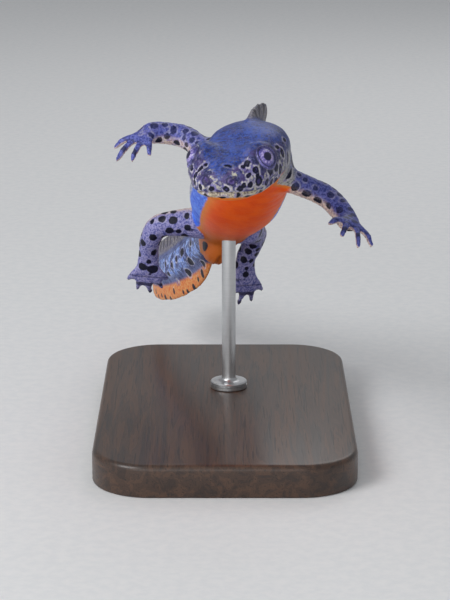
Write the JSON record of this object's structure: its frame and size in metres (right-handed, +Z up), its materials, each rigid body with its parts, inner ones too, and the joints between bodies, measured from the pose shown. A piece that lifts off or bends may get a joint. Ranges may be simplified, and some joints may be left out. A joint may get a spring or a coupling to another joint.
{
  "type": "alpine newt on a display stand",
  "caption": "Male alpine newt in breeding dress, drifting with spread limbs and a swung tail: a still life-size model on a small plain stand.",
  "frame": {"origin": "centre of the stand base's underside", "axes": "+X to the newt's left, +Y from its snout to its tail along the trunk, +Z up; it stands as it rests on a table"},
  "size_m": [0.0282, 0.0722, 0.0383],
  "materials": {
    "skin_blue": "moist slate-blue skin, satin",
    "belly_orange": "moist orange skin, satin",
    "limb_skin": "moist blue-grey skin, satin",
    "tail_skin": "moist light-blue skin, satin",
    "fin_skin": "thin pale skin fold, satin",
    "eye_dark": "dark polished glass eye",
    "stand_wood": "dark stained wood, satin",
    "stand_steel": "plain steel rod, satin"
  },
  "bodies": {
    "root": {"crest": "fin_skin", "eye_left": "eye_dark", "eye_right": "eye_dark", "foot_left": "limb_skin", "foot_right": "limb_skin", "forearm_left": "limb_skin", "forearm_right": "limb_skin", "hand_left": "limb_skin", "hand_right": "limb_skin", "head": "skin_blue", "neck": "belly_orange", "shank_left": "limb_skin", "shank_right": "limb_skin", "stand_base": "stand_wood", "stand_rod": "stand_steel", "tail_fin_lower": "belly_orange", "tail_fin_upper": "fin_skin", "tail_front": "tail_skin", "tail_rear": "tail_skin", "thigh_left": "limb_skin", "thigh_right": "limb_skin", "torso": "skin_blue", "upper_arm_left": "limb_skin", "upper_arm_right": "limb_skin"}
  },
  "joints": []
}
